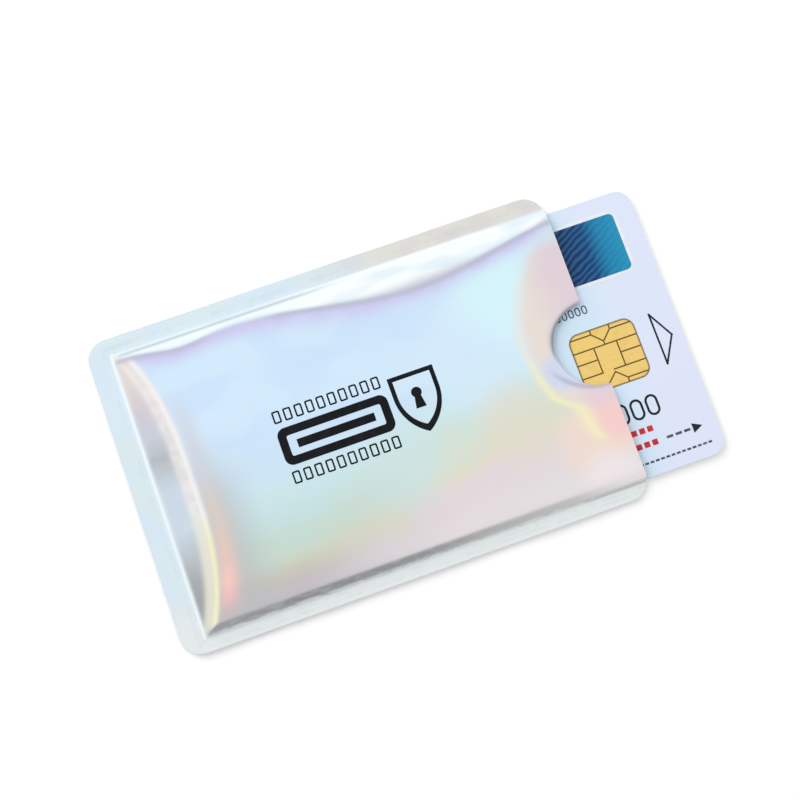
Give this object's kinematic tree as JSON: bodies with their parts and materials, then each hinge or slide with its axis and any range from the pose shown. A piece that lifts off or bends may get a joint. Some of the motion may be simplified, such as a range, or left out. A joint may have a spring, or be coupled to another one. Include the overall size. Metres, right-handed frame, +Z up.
{
  "type": "rfid card sleeve",
  "caption": "Flat foil-lined pouch of iridescent film, sealed on three sides, with a thumb notch in its open end and a chip card that slides out of it.",
  "frame": {"origin": "centre of the sleeve's outline, on the flat back face that it rests on", "axes": "+X along the sleeve out of its mouth, +Y across it to the wider seam, +Z up out of the printed front"},
  "size_m": [0.1077, 0.0614, 0.0024],
  "materials": {
    "front_film": "iridescent satin foil film",
    "back_film": "iridescent satin foil film",
    "foil": "bright foil",
    "liner": "matt white",
    "seal_glue": "pressed hot-melt",
    "print_ink": "satin black ink",
    "card_face": "glossy laminate over pale print",
    "card_front": "printed",
    "card_core": "plain white",
    "card_back": "glossy laminate",
    "antenna": "etched foil",
    "bump_paste": "conductive paste",
    "contact_gilt": "brushed gilt",
    "carrier_tape": "glass-fibre tape",
    "chip_glue": "hot-melt",
    "potting": "black resin",
    "silicon": "polished silicon",
    "gold_wire": "fine gold wire",
    "stripe": "satin magnetic stripe",
    "signature": "matt write-on panel",
    "badge_white": "white ink",
    "badge_colour": "blue-green ink",
    "card_ink": "black ink",
    "card_grey_ink": "dark grey ink",
    "card_red_ink": "red ink"
  },
  "bodies": {
    "sleeve": {"back_film": "back_film", "back_foil": "foil", "back_liner": "liner", "seal_band": "seal_glue", "front_liner": "liner", "front_foil": "foil", "front_film": "front_film", "front_print": "print_ink"},
    "card": {"card_back_overlay": "card_back", "card_back_sheet": "card_core", "card_inlay": "card_core", "card_front_sheet": "card_front", "card_front_overlay": "card_face", "antenna_trace": "antenna", "antenna_bridge": "antenna", "antenna_bumps": "bump_paste", "chip_contacts": "contact_gilt", "chip_carrier": "carrier_tape", "chip_glue": "chip_glue", "chip_potting": "potting", "chip_die": "silicon", "bond_wires": "gold_wire", "magnetic_stripe": "stripe", "signature_panel": "signature", "badge_border": "badge_white", "badge_panel": "badge_colour", "card_digits": "card_ink", "card_arrows": "card_ink", "card_small_print": "card_grey_ink", "card_red_marks": "card_red_ink"}
  },
  "joints": [
    {"name": "card_slide", "type": "slide", "parent": "sleeve", "child": "card", "axis": [1, 0, 0], "range_m": [-0.01665, 0.0715]}
  ]
}
